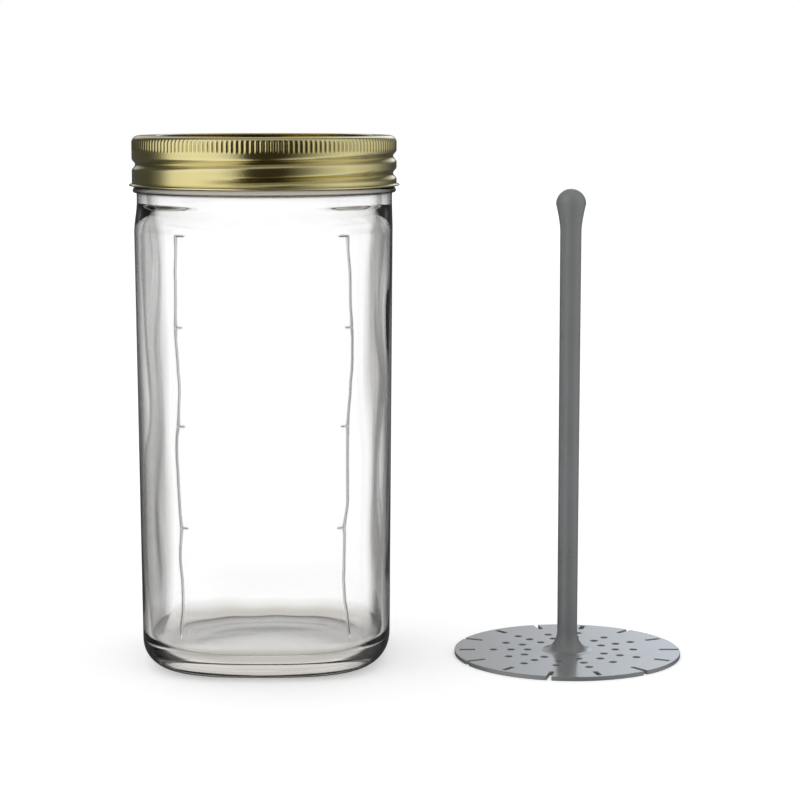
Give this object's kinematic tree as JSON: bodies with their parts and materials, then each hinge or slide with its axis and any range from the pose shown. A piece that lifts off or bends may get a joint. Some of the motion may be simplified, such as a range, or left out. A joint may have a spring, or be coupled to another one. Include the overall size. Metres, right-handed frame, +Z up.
{
  "type": "pickle jar with lift strainer",
  "caption": "Glass pickle jar with a soft square body and a two-piece screw lid, and a one-piece lifter whose pierced plate fits down the jar to raise what is inside.",
  "frame": {"origin": "on the table, under the middle of the box round the jar and the lifter together", "axes": "+Z up along the jar and the lifter, +X from the jar to the lifter, +Y away from the viewer"},
  "size_m": [0.2084, 0.101, 0.1979],
  "materials": {
    "jar_glass": "clear, smooth, pressed and blown",
    "lid_disc_metal": "gold lacquer on tinplate, satin",
    "sealing_compound": "matt, soft",
    "band_metal": "gold lacquer on tinplate, satin",
    "lifter_plastic": "grey, moulded, low gloss"
  },
  "bodies": {
    "jar": {"glass_jar": "jar_glass"},
    "lid": {"lid_disc": "lid_disc_metal", "sealing_ring": "sealing_compound"},
    "band": {"screw_band": "band_metal"},
    "lifter": {"lift_strainer": "lifter_plastic"}
  },
  "joints": [
    {"name": "lid_rise", "type": "slide", "parent": "jar", "child": "lid", "axis": [0, 0, 1], "range_m": [0, 0.02858]},
    {"name": "band_turn", "type": "hinge", "parent": "lid", "child": "band", "pos_m": [-0.05375, 0, 0.195], "axis": [0, 0, 1], "range_deg": [0, 1620]},
    {"name": "lifter_lift", "type": "slide", "parent": "jar", "child": "lifter", "axis": [0, 0, 1], "range_m": [0, 0.2]}
  ],
  "couplings": [
    {"joint": "lid_rise", "follows": "band_turn", "m_per_rad": 0.0010106}
  ]
}
